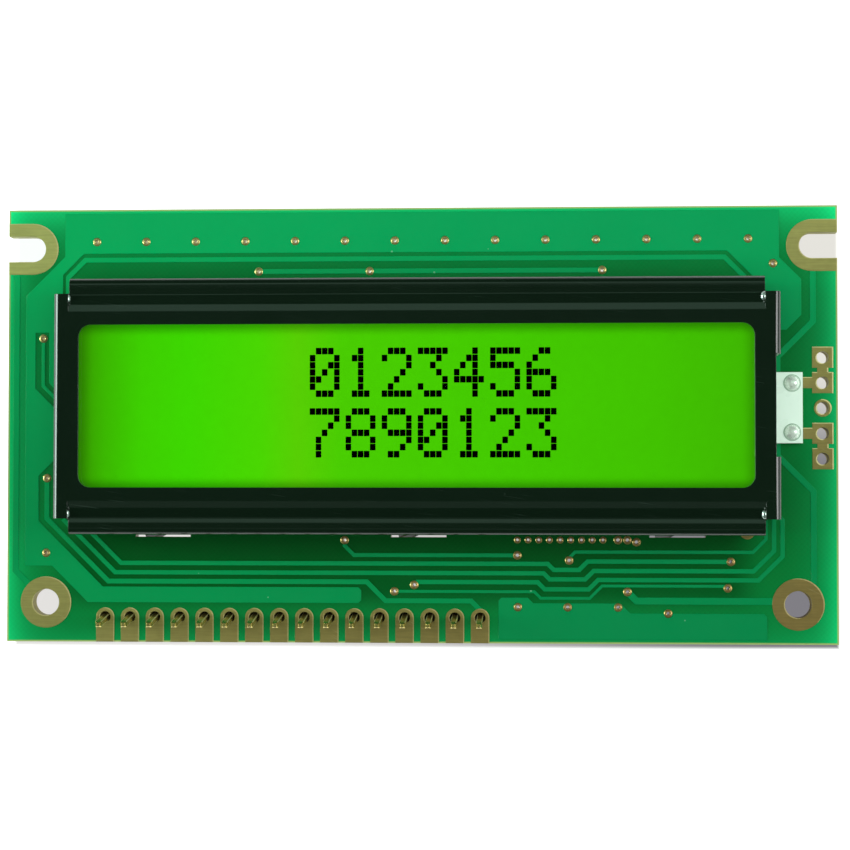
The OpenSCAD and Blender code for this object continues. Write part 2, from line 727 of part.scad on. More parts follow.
module bezel_tab() {
    translate([0, 0, rear_z / 2 + copper_t / 2])
        cube([tab_w, sheet_t, board_t + copper_t], center = true);
    translate([0, 0, rear_z]) mirror([0, 0, 1])
        linear_extrude(tab_out, twist = -tab_twist, slices = 6, segments = 4)
            square([tab_w, sheet_t], center = true);
}

module bezel() {
    color("#101512") {
        translate([0, display_y, 0]) difference() {
            union() {
                rotate([90, 0, 90]) linear_extrude(ledge_l, center = true) long_section();
                for (x = [-1, 1], turn = [0, 1]) translate([x * ledge_l / 2, 0, 0])
                    mirror([0, turn, 0]) slope_end();
                intersection() {
                    rotate([90, 0, 0]) linear_extrude(end_wall_w, center = true) end_section();
                    linear_extrude(bezel_h) {
                        square([bezel_l, face_w - 2 * bend_r], center = true);
                        for (side = [-1, 1])
                            translate([side * (ledge_l + bezel_l) / 4, 0])
                                square([ledge_inset + 2 * eps, end_wall_w], center = true);
                    }
                }
            }
            translate([0, 0, bezel_h - 2 * sheet_t]) linear_extrude(3 * sheet_t)
                rounded_rectangle(window_l, window_w, window_r);
            translate([bezel_l / 2 - sheet_t / 2, 0, bezel_h / 2])
                cube([bend_r, ear_gap_w, bezel_h + 1], center = true);
        }
        tab_places() bezel_tab();
    }
}

module front_polariser() {
    color("yellowgreen", 0.5)
        display_plate(polariser_l, polariser_w, glass_top_z + glue_t, polariser_t);
}

module front_glass() {
    color("lightcyan", 0.5)
        display_plate(front_glass_l, front_glass_w, front_glass_z, glass_t);
}

module cell_seal() {
    color("ivory") difference() {
        display_plate(front_glass_l, rear_glass_w, rear_glass_top_z, cell_gap);
        display_plate(front_glass_l - 2 * seal_w, rear_glass_w - 2 * seal_w,
            rear_glass_top_z - 1, cell_gap + 2);
    }
}

module liquid_crystal() {
    color("greenyellow") display_plate(front_glass_l - 2 * seal_w, rear_glass_w - 2 * seal_w,
        rear_glass_top_z, cell_gap - electrode_t);
}

module character_cells() {
    color("darkslategray") for (i = [0 : char_columns - 1], j = [0 : char_rows - 1])
        translate([(i - (char_columns - 1) / 2) * char_pitch_x,
            display_y + (j - (char_rows - 1) / 2) * char_pitch_y,
            front_glass_z - electrode_t / 2])
            cube([char_w, char_h, electrode_t], center = true);
}

module rear_glass() {
    color("lightcyan", 0.5) display_plate(front_glass_l, rear_glass_w, rear_glass_z, glass_t);
}

module rear_polariser() {
    color("yellowgreen")
        display_plate(polariser_l, polariser_w, rear_polariser_z, polariser_t);
}

module contact_strip(side) {
    translate([0, display_y + side * strip_y, (copper_t + front_glass_z) / 2])
        cube([strip_l, strip_w, front_glass_z - copper_t], center = true);
}

module upper_contact_strip() {
    color("dimgray") contact_strip(1);
}

module lower_contact_strip() {
    color("dimgray") contact_strip(-1);
}

module diffuser_sheet() {
    color("white") display_plate(frame_l, frame_w, guide_top_z, diffuser_t);
}

module light_guide() {
    color("honeydew", 0.7) display_plate(pocket_l - 2 * frame_clearance,
        pocket_w - 2 * frame_clearance, guide_z, guide_top_z - guide_z);
}

module backlight_frame() {
    color("white") difference() {
        display_plate(frame_l, frame_w, copper_t, guide_top_z - copper_t);
        display_plate(pocket_l, pocket_w, 0, bezel_h);
        translate([frame_l / 2, display_y, copper_t])
            cube([2 * frame_wall + 1, ear_w + 2 * frame_clearance,
                2 * (light_board_t + frame_clearance)], center = true);
    }
}

module backlight_board() {
    ear_end = bezel_l / 2 + ear_out;
    color("white") difference() {
        union() {
            display_plate(pocket_l - 2 * frame_clearance, pocket_w - 2 * frame_clearance,
                copper_t, light_board_t);
            translate([0, display_y - ear_w / 2, copper_t])
                cube([ear_end, ear_w, light_board_t]);
        }
        lead_places() drill_up(lead_hole_d);
    }
}

module drill_up(d) {
    cylinder(d = d, h = light_board_top_z + 1);
}

module light_emitters() {
    color("khaki") for (i = [0 : led_columns - 1], side = [-1, 1])
        translate([(i - (led_columns - 1) / 2) * led_pitch,
            display_y + side * led_row_gap / 2, light_board_top_z + led_size.z / 2])
            cube(led_size, center = true);
}

module backlight_leads() {
    lead_top = light_board_top_z + joint_h - 0.1;
    lead_end = rear_z - joint_h - 0.2;
    color("silver") lead_places() translate([0, 0, lead_end])
        cylinder(d = lead_d, h = lead_top - lead_end);
}

// A solder fillet that rises round a lead, and its foot, which fills the hole
module solder_joint(depth) {
    foot = joint_d / 2;
    rise = [for (a = [0 : 15 : 90])
        [lead_d / 2 + (foot - lead_d / 2) * cos(a), joint_h * sin(a)]];
    rotate_extrude() polygon(concat(rise,
        [[lead_d / 2, -depth], [lead_hole_d / 2, -depth], [lead_hole_d / 2, 0]]));
}

module lead_solder() {
    color("gainsboro") lead_places() {
        translate([0, 0, light_board_top_z]) solder_joint(light_board_t);
        translate([0, 0, rear_z - copper_t]) mirror([0, 0, 1]) solder_joint(board_t / 2);
    }
}

// A drop of black epoxy that has run out to a round edge
module epoxy_drop(d) {
    rise = [for (a = [0 : 10 : 90]) [d / 2 * pow(cos(a), 0.6), drop_h * sin(a)]];
    translate([0, 0, rear_z]) mirror([0, 0, 1])
        rotate_extrude($fn = 72) polygon(concat([[0, 0]], rise));
}

module controller_drop() {
    color("#1a1a1c") translate(controller_at) epoxy_drop(controller_d);
}

module driver_drop() {
    color("#1a1a1c") translate(driver_at) epoxy_drop(driver_d);
}

module chip_lands() {
    color("silver") translate([0, 0, rear_z - copper_t]) linear_extrude(copper_t)
        land_plan();
}

module chip_body() {
    translate([0, 0, rear_z - copper_t - chip_size.z / 2])
        cube([chip_size.x - 2 * chip_cap, chip_size.y, chip_size.z], center = true);
}

module resistor_bodies() {
    color("#202024") at_each(resistor_at) rotate(90) chip_body();
}

module capacitor_bodies() {
    color("tan") at_each(capacitor_at) chip_body();
}

module chip_caps() {
    cap = [chip_cap, chip_size.y, chip_size.z];
    z = rear_z - copper_t - chip_size.z / 2;
    color("silver") {
        at_each(resistor_at) chip_ends(90) translate([0, 0, z]) cube(cap, center = true);
        at_each(capacitor_at) chip_ends(0) translate([0, 0, z]) cube(cap, center = true);
    }
}

// The header's own frame: its origin is in the middle of a hole, and +Z runs up its pins
module in_header() {
    translate([0, pin_row_y, rear_z / 2]) rotate([header_lean, 0, 0]) children();
}

module header_insulator() {
    half = insulator_side / 2;
    notch = 0.4;
    color("#18181a") in_header() difference() {
        translate([0, 0, -insulator_top - insulator_side]) linear_extrude(insulator_side)
            for (i = [0 : pin_count - 1]) translate([left(pin_first) + i * pin_pitch, 0])
                polygon([[-pin_pitch / 2, notch - half], [notch - pin_pitch / 2, -half],
                    [pin_pitch / 2 - notch, -half], [pin_pitch / 2, notch - half],
                    [pin_pitch / 2, half - notch], [pin_pitch / 2 - notch, half],
                    [notch - pin_pitch / 2, half], [-pin_pitch / 2, half - notch]]);
        for (i = [0 : pin_count - 1])
            translate([left(pin_first) + i * pin_pitch, 0, -insulator_top - insulator_side / 2])
                cube([pin_side + eps, pin_side + eps, insulator_side + 1], center = true);
    }
}

// Side view of a pin, bevelled at both ends
module pin_profile(low, high) {
    half = pin_side / 2;
    tip = half - pin_bevel / 2;
    polygon([[-tip, low], [tip, low], [half, low + pin_bevel], [half, high - pin_bevel],
        [tip, high], [-tip, high], [-half, high - pin_bevel], [-half, low + pin_bevel]]);
}

module header_pin() {
    high = (board_t / 2 + pin_front) / cos(header_lean);
    low = -insulator_top - insulator_side - pin_tail;
    intersection() {
        rotate([90, 0, 0]) linear_extrude(2 * pin_side, center = true) pin_profile(low, high);
        rotate([90, 0, 90]) linear_extrude(2 * pin_side, center = true) pin_profile(low, high);
    }
}

module header_pins() {
    color("goldenrod") in_header() for (i = [0 : pin_count - 1])
        translate([left(pin_first) + i * pin_pitch, 0, 0]) header_pin();
}

circuit_board();
front_tracks();
rear_tracks();
plated_vias();
mounting_rings();
header_pads();
terminal_pads();
strip_contacts();
bezel();
front_polariser();
front_glass();
cell_seal();
liquid_crystal();
character_cells();
rear_glass();
rear_polariser();
upper_contact_strip();
lower_contact_strip();
diffuser_sheet();
light_guide();
backlight_frame();
backlight_board();
light_emitters();
backlight_leads();
lead_solder();
controller_drop();
driver_drop();
chip_lands();
resistor_bodies();
capacitor_bodies();
chip_caps();
header_insulator();
header_pins();
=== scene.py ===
"""Character LCD module: finishes, display digits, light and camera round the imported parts."""

import math

import bmesh
import bpy
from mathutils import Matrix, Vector


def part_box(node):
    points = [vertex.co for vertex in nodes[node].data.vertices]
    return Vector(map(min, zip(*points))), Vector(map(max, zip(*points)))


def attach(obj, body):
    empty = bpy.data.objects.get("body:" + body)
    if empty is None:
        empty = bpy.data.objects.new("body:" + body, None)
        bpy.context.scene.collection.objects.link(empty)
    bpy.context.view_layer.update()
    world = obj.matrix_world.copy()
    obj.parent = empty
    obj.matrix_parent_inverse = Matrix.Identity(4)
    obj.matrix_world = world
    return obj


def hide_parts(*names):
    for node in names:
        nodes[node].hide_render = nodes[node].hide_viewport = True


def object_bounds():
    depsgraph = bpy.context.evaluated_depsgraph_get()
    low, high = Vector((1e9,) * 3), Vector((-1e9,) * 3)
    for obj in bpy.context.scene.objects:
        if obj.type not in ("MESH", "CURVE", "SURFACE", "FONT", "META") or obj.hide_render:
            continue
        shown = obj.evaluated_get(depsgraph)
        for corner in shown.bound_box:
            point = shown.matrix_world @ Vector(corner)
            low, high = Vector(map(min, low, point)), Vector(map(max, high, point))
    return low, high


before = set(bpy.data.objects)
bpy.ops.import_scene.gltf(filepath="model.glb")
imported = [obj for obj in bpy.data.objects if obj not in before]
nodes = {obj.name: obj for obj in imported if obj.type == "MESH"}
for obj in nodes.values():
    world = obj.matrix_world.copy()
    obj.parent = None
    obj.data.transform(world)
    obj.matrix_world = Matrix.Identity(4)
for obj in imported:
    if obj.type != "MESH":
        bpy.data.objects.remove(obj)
cad_low, cad_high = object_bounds()

MM = 0.001


def size_mm(node):
    """Lowest and highest corner of a CAD node, in millimetres."""
    low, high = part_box(node)
    return low / MM, high / MM


cells_low, cells_high = size_mm("character_cells")
film_low, film_high = size_mm("front_polariser")
board_top = size_mm("circuit_board")[1]
bezel_top = size_mm("bezel")[1]
ear_top = size_mm("backlight_board")[1]

HALF_L = board_top.x
HALF_W = board_top.y
DISPLAY_Y = (film_low.y + film_high.y) / 2

# The bezel, measured from the middle of the display
WINDOW = (66.1, 16.0)  # length and width of the window
LEDGE_END = 34.1  # the ends of the two ledges, along X
END_WALL = 11.05  # the ends of the end walls, along Y
EAR_GAP = 5.0  # the edges of the gap that the ear passes through, along Y
SLOPE_Y = 10.55  # the middles of the ledges' slopes, along Y


# ---------------------------------------------------------------- shader building

class Graph:
    """Adds nodes to one tree, fills their inputs and joins them."""

    def __init__(self, tree):
        self.tree = tree

    def fill(self, socket, value):
        """Joins a socket to the input, or sets the input to a plain value."""
        if isinstance(value, bpy.types.NodeSocket):
            self.tree.links.new(value, socket)
        else:
            socket.default_value = value

    def add(self, kind, inputs=None, **settings):
        """A node of this kind; an input given as a socket is joined, any other value is set."""
        node = self.tree.nodes.new(kind)
        for name, value in settings.items():
            setattr(node, name, value)
        for name, value in (inputs or {}).items():
            self.fill(node.inputs[name], value)
        return node

    def math(self, operation, a, b=0.0, c=0.0, clamp=False):
        """The result of one sum, such as MULTIPLY_ADD."""
        return self.add("ShaderNodeMath", {0: a, 1: b, 2: c}, operation=operation,
                        use_clamp=clamp).outputs[0]

    def mix(self, factor, a, b):
        """Colour a turned into colour b by the factor."""
        return self.add("ShaderNodeMix", {0: factor, 6: a, 7: b}, data_type="RGBA").outputs[2]

    def span(self, value, low, high, to_low=0.0, to_high=1.0, shape="SMOOTHSTEP"):
        """A value carried from one range to another."""
        return self.add("ShaderNodeMapRange", {
            "Value": value, "From Min": low, "From Max": high,
            "To Min": to_low, "To Max": to_high}, interpolation_type=shape).outputs[0]

    def scaled(self, vector, amount):
        """A vector or colour times an amount."""
        if not isinstance(vector, bpy.types.NodeSocket):
            vector = vector[:3]
        return self.add("ShaderNodeVectorMath", {0: vector, "Scale": amount},
                        operation="SCALE").outputs[0]

    def stretched(self, vector, amounts):
        """A vector with each of its three measures times its own amount."""
        return self.add("ShaderNodeVectorMath", {0: vector, 1: amounts},
                        operation="MULTIPLY").outputs[0]

    def parts(self, vector):
        """The three measures of a vector."""
        return self.add("ShaderNodeSeparateXYZ", {0: vector}).outputs

    def place(self):
        """The point on the object, in millimetres."""
        return self.scaled(self.add("ShaderNodeTexCoord").outputs["Object"], 1 / MM)

    def noise(self, place, size, detail=2.0):
        """Noise from 0 to 1 whose patches are about this many millimetres across."""
        scale = 1 / size if isinstance(size, (int, float)) else self.math("DIVIDE", 1.0, size)
        return self.add("ShaderNodeTexNoise", {
            "Vector": place, "Scale": scale, "Detail": detail}).outputs[0]

    def fading(self, distance, reach):
        """1 at no distance, and a factor e less over every further reach."""
        return self.math("POWER", math.e, self.math("DIVIDE", distance, -reach))

    def group(self, tree, inputs):
        """The outputs of a shader group with these inputs."""
        node = self.tree.nodes.new("ShaderNodeGroup")
        node.node_tree = tree
        for name, value in inputs.items():
            self.fill(node.inputs[name], value)
        return node.outputs


def srgb(r, g, b):
    """A colour given in display values from 0 to 255, as the linear one that shaders take."""
    def linear(c):
        c /= 255
        return c / 12.92 if c <= 0.04045 else ((c + 0.055) / 1.055) ** 2.4
    return (linear(r), linear(g), linear(b), 1.0)


def effect(name, inputs, outputs):
    """An empty shader group with named sockets: its tree, graph, entry and exit."""
    tree = bpy.data.node_groups.new(name, "ShaderNodeTree")
    for label, kind, value in inputs:
        socket = tree.interface.new_socket(label, in_out="INPUT",
                                           socket_type="NodeSocket" + kind)
        if value is not None:
            socket.default_value = value
    for label, kind in outputs:
        tree.interface.new_socket(label, in_out="OUTPUT", socket_type="NodeSocket" + kind)
    g = Graph(tree)
    return tree, g, g.add("NodeGroupInput").outputs, g.add("NodeGroupOutput").inputs


def build_cloudy_tone():
    """A slow drift of tone across a surface, with a faster mottle in it, round 1."""
    tree, g, given, result = effect(
        "Cloudy tone",
        [("Place", "Vector", None), ("Size", "Float", 8.0), ("Drift", "Float", 0.05),
         ("Mottle", "Float", 0.02)],
        [("Tone", "Float")])
    slow = g.math("SUBTRACT", g.noise(given["Place"], given["Size"]), 0.5)
    fast = g.math("SUBTRACT", g.noise(
        given["Place"], g.math("DIVIDE", given["Size"], 11.0), 3.0), 0.5)
    tone = g.math("MULTIPLY_ADD", slow, g.math("MULTIPLY", given["Drift"], 4.0), 1.0)
    g.fill(result["Tone"], g.math("MULTIPLY_ADD", fast,
                                  g.math("MULTIPLY", given["Mottle"], 4.0), tone))
    return tree


def build_fine_grain():
    """The small unevenness that breaks up a gloss, and a wider wave under it."""
    tree, g, given, result = effect(
        "Fine grain",
        [("Place", "Vector", None), ("Size", "Float", 0.2), ("Wave", "Float", 0.5)],
        [("Height", "Float")])
    fine = g.noise(given["Place"], given["Size"], 3.0)
    wide = g.noise(given["Place"], g.math("MULTIPLY", given["Size"], 6.0), 1.0)
    g.fill(result["Height"], g.math("MULTIPLY_ADD", wide, given["Wave"], fine))
    return tree


def build_rubbed_marks():
    """Thin light marks, all in about one direction, where a surface has been rubbed."""
    tree, g, given, result = effect(
        "Rubbed marks",
        [("Place", "Vector", None), ("Turn", "Float", 0.5), ("Length", "Float", 4.0),
         ("Amount", "Float", 0.5)],
        [("Mask", "Float")])
    turned = g.add("ShaderNodeVectorRotate", {"Vector": given["Place"], "Angle": given["Turn"]},
                   rotation_type="Z_AXIS").outputs[0]
    x, y, z = g.parts(turned)
    drawn = g.add("ShaderNodeCombineXYZ", {
        0: g.math("DIVIDE", x, given["Length"]), 1: g.math("MULTIPLY", y, 7.0),
        2: z}).outputs[0]
    lines = g.span(g.noise(drawn, 1.0), 0.64, 0.72)
    where = g.span(g.noise(given["Place"], 3.0, 1.0), 0.45, 0.7)
    g.fill(result["Mask"], g.math("MULTIPLY", g.math("MULTIPLY", lines, where),
                                  given["Amount"]))
    return tree


def build_dust_specks():
    """Small pale specks, far apart."""
    tree, g, given, result = effect(
        "Dust specks",
        [("Place", "Vector", None), ("Spacing", "Float", 1.4), ("Share", "Float", 0.12)],
        [("Mask", "Float")])
    cells = g.add("ShaderNodeTexVoronoi", {
        "Vector": given["Place"], "Scale": g.math("DIVIDE", 1.0, given["Spacing"])})
    chosen = g.math("LESS_THAN", g.parts(cells.outputs["Color"])[0], given["Share"])
    g.fill(result["Mask"], g.math("MULTIPLY", g.span(cells.outputs["Distance"], 0.05, 0.09,
                                                     1.0, 0.0), chosen))
    return tree


def build_glass_cloth():
    """The weave of the glass cloth, which prints through the laminate's surface."""
    tree, g, given, result = effect(
        "Glass cloth", [("Place", "Vector", None), ("Pitch", "Float", 0.55)],
        [("Height", "Float")])
    x, y = g.parts(given["Place"])[:2]
    turns = g.math("DIVIDE", 2 * math.pi, given["Pitch"])
    warp = g.math("SINE", g.math("MULTIPLY", x, turns))
    weft = g.math("SINE", g.math("MULTIPLY", y, turns))
    g.fill(result["Height"], g.math("MULTIPLY_ADD", g.math("MULTIPLY", warp, weft), 0.5, 0.5))
    return tree


CLOUDY_TONE = build_cloudy_tone()
FINE_GRAIN = build_fine_grain()
RUBBED_MARKS = build_rubbed_marks()
DUST_SPECKS = build_dust_specks()
GLASS_CLOTH = build_glass_cloth()


def new_material(name):
    """A material with no nodes yet, and its graph."""
    material = bpy.data.materials.new(name)
    material.use_nodes = True
    material.node_tree.nodes.clear()
    return material, Graph(material.node_tree)


def close_material(g, shader):
    """Joins the shader to the material's output."""
    output = g.add("ShaderNodeOutputMaterial")
    g.tree.links.new(shader.outputs[0], output.inputs["Surface"])


def surface(name, paint, roughness=0.4, play=0.06, drift=0.04, mottle=0.02, patch=8.0,
            grain=0.2, wave=0.5, depth=0.002, broken=0.0, **shader):
    """A finish whose colour and gloss drift a little and whose fine grain is depth mm deep.

    paint is a colour, or a function of the graph and the place that returns one. Sharp edges
    look broken to a round of this many millimetres.
    """
    material, g = new_material(name)
    place = g.place()
    tone = g.group(CLOUDY_TONE, {"Place": place, "Size": patch, "Drift": drift,
                                 "Mottle": mottle})["Tone"]
    colour = paint(g, place) if callable(paint) else paint
    height = g.group(FINE_GRAIN, {"Place": place, "Size": grain, "Wave": wave})["Height"]
    gloss = g.math("MULTIPLY_ADD", g.math("SUBTRACT", g.noise(place, patch / 3), 0.5), 4 * play,
                   roughness, clamp=True)
    bump = g.add("ShaderNodeBump", {"Height": height, "Distance": depth * MM})
    if broken:
        g.fill(bump.inputs["Normal"], g.add("ShaderNodeBevel", {"Radius": broken * MM},
                                            samples=4).outputs[0])
    close_material(g, g.add("ShaderNodeBsdfPrincipled", {
        "Base Color": g.scaled(colour, tone), "Roughness": gloss, "Normal": bump.outputs[0],
        **shader}))
    return material


# ---------------------------------------------------------------- colours that change

def edge_distances(g, place):
    """Distances in from the board's nearest end and from its nearest long edge."""
    x, y = g.parts(place)[:2]
    return (g.math("SUBTRACT", HALF_L, g.math("ABSOLUTE", x)),
            g.math("SUBTRACT", HALF_W, g.math("ABSOLUTE", y)))


def facing_up(g):
    """1 on faces that look up or down, 0 on upright ones."""
    normal = g.add("ShaderNodeNewGeometry").outputs["True Normal"]
    return g.span(g.math("ABSOLUTE", g.parts(normal)[2]), 0.4, 0.8)


def laminate_paint(g, place):
    """Masked laminate with painted light brighter near the board's ends and long edges, painted
    shade among the lower tracks, and bare at the very rim.
    """
    x, y = g.parts(place)[:2]
    from_end, from_side = edge_distances(g, place)
    # Painted light: the laminate brighter near the board's ends and long edges, fading inwards
    end_reach, side_reach = 1.4, 2.3
    # The painted light along the long edges is strongest on the upper half
    upper_half = g.span(y, -2.0, 2.0, 0.3, 1.0)
    carried = g.math("ADD", g.fading(from_end, end_reach),
                     g.math("MULTIPLY", upper_half, g.fading(from_side, side_reach)))
    # Painted shade: darker among the lower bus tracks
    in_rows = g.math("MULTIPLY", g.span(y, -19.5, -16.5), g.span(y, -9.0, -11.5))
    in_length = g.math("MULTIPLY", g.span(x, -38.0, -33.0), g.span(x, 35.0, 31.0))
    inner = g.mix(g.math("MULTIPLY", in_rows, in_length), srgb(0, 108, 44), srgb(0, 76, 24))
    glow = g.scaled(srgb(10, 160, 96), carried)
    masked = g.add("ShaderNodeVectorMath", {0: inner, 1: glow}, operation="ADD").outputs[0]
    cloth = g.group(GLASS_CLOTH, {"Place": place})["Height"]
    masked = g.scaled(masked, g.span(cloth, 0.0, 1.0, 0.97, 1.03))
    bare_rim = g.span(g.math("MINIMUM", from_end, from_side), 0.08, 0.2)
    flat = g.mix(bare_rim, srgb(158, 176, 104), masked)
    layers = g.noise(g.stretched(place, (0.4, 0.4, 9.0)), 1.0, 3.0)
    side = g.mix(layers, srgb(150, 138, 78), srgb(206, 196, 132))
    return g.mix(facing_up(g), side, flat)


def copper_mask_paint(g, place):
    """Green mask over copper, lighter where it turns over an edge; its face carries painted
    light, brighter at the top of the board and darker down it.
    """
    x, y = g.parts(place)[:2]
    across = g.mix(g.span(x, -34.0, 30.0), srgb(0, 156, 84), srgb(0, 148, 82))
    # Painted light: the face brighter towards the top of the board, darker down it
    down = g.span(y, -21.0, 21.0, 0.74, 1.06)
    specks = g.group(DUST_SPECKS, {"Place": place})["Mask"]
    face = g.mix(g.math("MULTIPLY", specks, 0.35), g.scaled(across, down),
                 srgb(150, 210, 180))
    return g.mix(facing_up(g), srgb(6, 160, 92), face)


def gold_paint(light, dark):
    """Thin gold on copper, with painted shade that makes it duller towards the board's lower
    right.
    """
    def paint(g, place):
        x, y = g.parts(place)[:2]
        # Painted shade: lighter gold at the upper left, darker towards the lower right
        painted_shade_share = g.math("MULTIPLY_ADD", x, 0.006, g.math("MULTIPLY_ADD", y, -0.017, 0.45),
                     clamp=True)
        marks = g.group(RUBBED_MARKS, {"Place": place, "Amount": 0.25})["Mask"]
        lines = g.noise(g.stretched(place, (0.35, 5.0, 1.0)), 1.0)
        plated = g.scaled(g.mix(painted_shade_share, light, dark), g.span(lines, 0.3, 0.7, 0.93, 1.07))
        return g.mix(marks, plated, srgb(214, 206, 160))
    return paint


def steel_paint(g, place):
    """Black lacquer with a few faint rubbed marks and specks."""
    marks = g.group(RUBBED_MARKS, {"Place": place, "Turn": 0.15, "Length": 9.0,
                                   "Amount": 0.05})["Mask"]
    specks = g.group(DUST_SPECKS, {"Place": place, "Spacing": 2.2, "Share": 0.06})["Mask"]
    worn = g.math("MAXIMUM", marks, g.math("MULTIPLY", specks, 0.06))
    return g.mix(worn, srgb(14, 28, 18), srgb(120, 140, 130))


def elastomer_paint(g, place):
    """Thin dark layers in pale rubber, side by side along the strip."""
    pitch = 0.18
    stripe = g.math("SINE", g.math("MULTIPLY", g.parts(place)[0], 2 * math.pi / pitch))
    return g.mix(g.span(stripe, -0.2, 0.2), srgb(60, 58, 62), srgb(176, 150, 148))


def window_edge(g, place):
    """Distances in from the window's nearest end and from its nearest long edge."""
    x, y = g.parts(place)[:2]
    side = g.math("SUBTRACT", WINDOW[0] / 2, g.math("ABSOLUTE", x))
    row = g.math("SUBTRACT", WINDOW[1] / 2, g.math(
        "ABSOLUTE", g.math("SUBTRACT", y, DISPLAY_Y)))
    return side, row


def display_glow(name):
    """The lit liquid crystal: yellower in a band left of the middle, and darker at the rim with
    painted shade of the bezel.
    """
    material, g = new_material(name)
    place = g.place()
    along = g.span(g.parts(place)[0], -33.0, 33.0, shape="LINEAR")
    ramp = g.add("ShaderNodeValToRGB", {"Fac": along})
    # Colour along the window; the darker ends are painted shade of the bezel
    stops = [(0.0, (56, 152, 2)), (0.035, (60, 182, 2)), (0.09, (62, 205, 2)),
             (0.16, (62, 212, 2)), (0.27, (74, 212, 3)),
             (0.325, (88, 205, 5)), (0.39, (74, 203, 3)), (0.62, (68, 200, 2)),
             (0.86, (66, 192, 2)), (1.0, (64, 180, 3))]
    band = ramp.color_ramp
    while len(band.elements) < len(stops):
        band.elements.new(0.5)
    for element, (at, colour) in zip(band.elements, stops):
        element.position = at
        element.color = srgb(*colour)
    side, row = window_edge(g, place)
    # Painted shade of the bezel, darker near the window's edges
    shade = g.math("MULTIPLY", g.span(side, -0.4, 1.3, 0.62, 1.0),
                   g.span(row, -0.2, 1.2, 0.46, 1.0))
    tone = g.group(CLOUDY_TONE, {"Place": place, "Size": 9.0, "Drift": 0.015,
                                 "Mottle": 0.02})["Tone"]
    colour = g.scaled(g.scaled(ramp.outputs["Color"], tone), shade)
    close_material(g, g.add("ShaderNodeBsdfPrincipled", {
        "Base Color": (0, 0, 0, 1), "Roughness": 0.9, "Specular IOR Level": 0.0,
        "Emission Color": colour, "Emission Strength": 1.18}))
    return material


def clear(name, tint, roughness=0.0, ior=1.5):
    """Clear glass or film, with faint wipe marks in its gloss."""
    material, g = new_material(name)
    place = g.place()
    marks = g.group(RUBBED_MARKS, {"Place": place, "Length": 14.0, "Amount": 0.04})["Mask"]
    close_material(g, g.add("ShaderNodeBsdfPrincipled", {
        "Base Color": tint, "Roughness": g.math("ADD", marks, roughness), "IOR": ior,
        "Transmission Weight": 1.0}))
    return material


def cut_steel_paint(g, place):
    """The bare edge of the sheet, sheared and torn in layers."""
    torn = g.noise(g.stretched(place, (3.0, 3.0, 12.0)), 1.0, 3.0)
    return g.mix(torn, srgb(70, 76, 72), srgb(170, 176, 170))


BOARD = surface("Green_laminate", laminate_paint, 0.2, 0.03, drift=0.015, mottle=0.012,
                depth=0.0006, **{"Specular IOR Level": 0.08})
COPPER_MASK = surface("Masked_copper", copper_mask_paint, 0.2, 0.03, drift=0.02, mottle=0.012,
                      depth=0.0006, broken=0.08, **{"Specular IOR Level": 0.08})
GOLD = surface("Matt_gold", gold_paint(srgb(178, 178, 104), srgb(134, 114, 62)), 0.5, 0.05,
               mottle=0.05, grain=0.12, depth=0.002, broken=0.06, Metallic=0.6)
# Pale gold for painted highlights on the terminal pads' edges and the pins' corners
PALE_GOLD_HIGHLIGHT = surface("Gold_painted_highlight", gold_paint(srgb(232, 226, 160), srgb(212, 200, 140)), 0.4, 0.05,
                   mottle=0.1, patch=1.2, grain=0.1, depth=0.002, Metallic=0.3)
# Duller pale gold for painted highlights on the edges of the fixing rings and header pads
DULL_GOLD_HIGHLIGHT = surface("Dull_gold_painted_highlight", gold_paint(srgb(198, 190, 128), srgb(176, 158, 106)), 0.4,
                   0.05, mottle=0.1, patch=1.2, grain=0.1, depth=0.002, Metallic=0.3)
BEAD_GOLD = surface("Bead_gold", gold_paint(srgb(206, 190, 122), srgb(176, 140, 86)), 0.36, 0.04,
                    grain=0.1, depth=0.002, Metallic=0.8)
PIN_GOLD = surface("Pin_gold", gold_paint(srgb(228, 212, 128), srgb(214, 190, 108)), 0.2, 0.05,
                   grain=0.15, depth=0.002, Metallic=0.9)
STEEL = surface("Black_lacquer", steel_paint, 0.12, 0.02, grain=0.25, wave=1.5, depth=0.0006,
                broken=0.07)
CUT_STEEL = surface("Cut_steel", cut_steel_paint, 0.35, 0.08, depth=0.003, Metallic=0.9)
TORN_STEEL = surface("Torn_steel", srgb(196, 210, 204), 0.28, 0.05, patch=1.0, grain=0.3,
                     depth=0.004, Metallic=0.9)
FILM = clear("Polariser_film", (1, 1, 1, 1), 0.02, 1.45)
GLASS = clear("Cell_glass", (0.97, 1.0, 0.98, 1))
GLOW = display_glow("Lit_display")
REAR_CELL = surface("Rear_film", srgb(70, 150, 30), 0.3, depth=0.0005)
DOTS = surface("Display_dots", srgb(0, 44, 27), 0.6, drift=0.06, mottle=0.05, patch=3.0,
               depth=0.0005, **{"Specular IOR Level": 0.0})
ELASTOMER = surface("Layered_rubber", elastomer_paint, 0.6)
WHITE_PLASTIC = surface("White_plastic", srgb(232, 234, 230), 0.5, 0.08, depth=0.004)
GUIDE = surface("Clear_guide", srgb(214, 236, 200), 0.2, depth=0.001)
WHITE_MASK = surface("White_mask", srgb(234, 255, 240), 0.3, 0.06, drift=0.015, mottle=0.01,
                     patch=4.0, depth=0.003, broken=0.12)
EMITTER = surface("Emitter_resin", srgb(214, 220, 120), 0.25)
SOLDER = surface("Bright_solder", srgb(238, 250, 238), 0.26, 0.05, patch=1.0, grain=0.5,
                 depth=0.01, Metallic=0.4)
FLUX = surface("Flux_line", srgb(158, 190, 166), 0.4, patch=1.0)
TINNED = surface("Tinned_wire", srgb(200, 200, 196), 0.22, 0.05, Metallic=1.0)
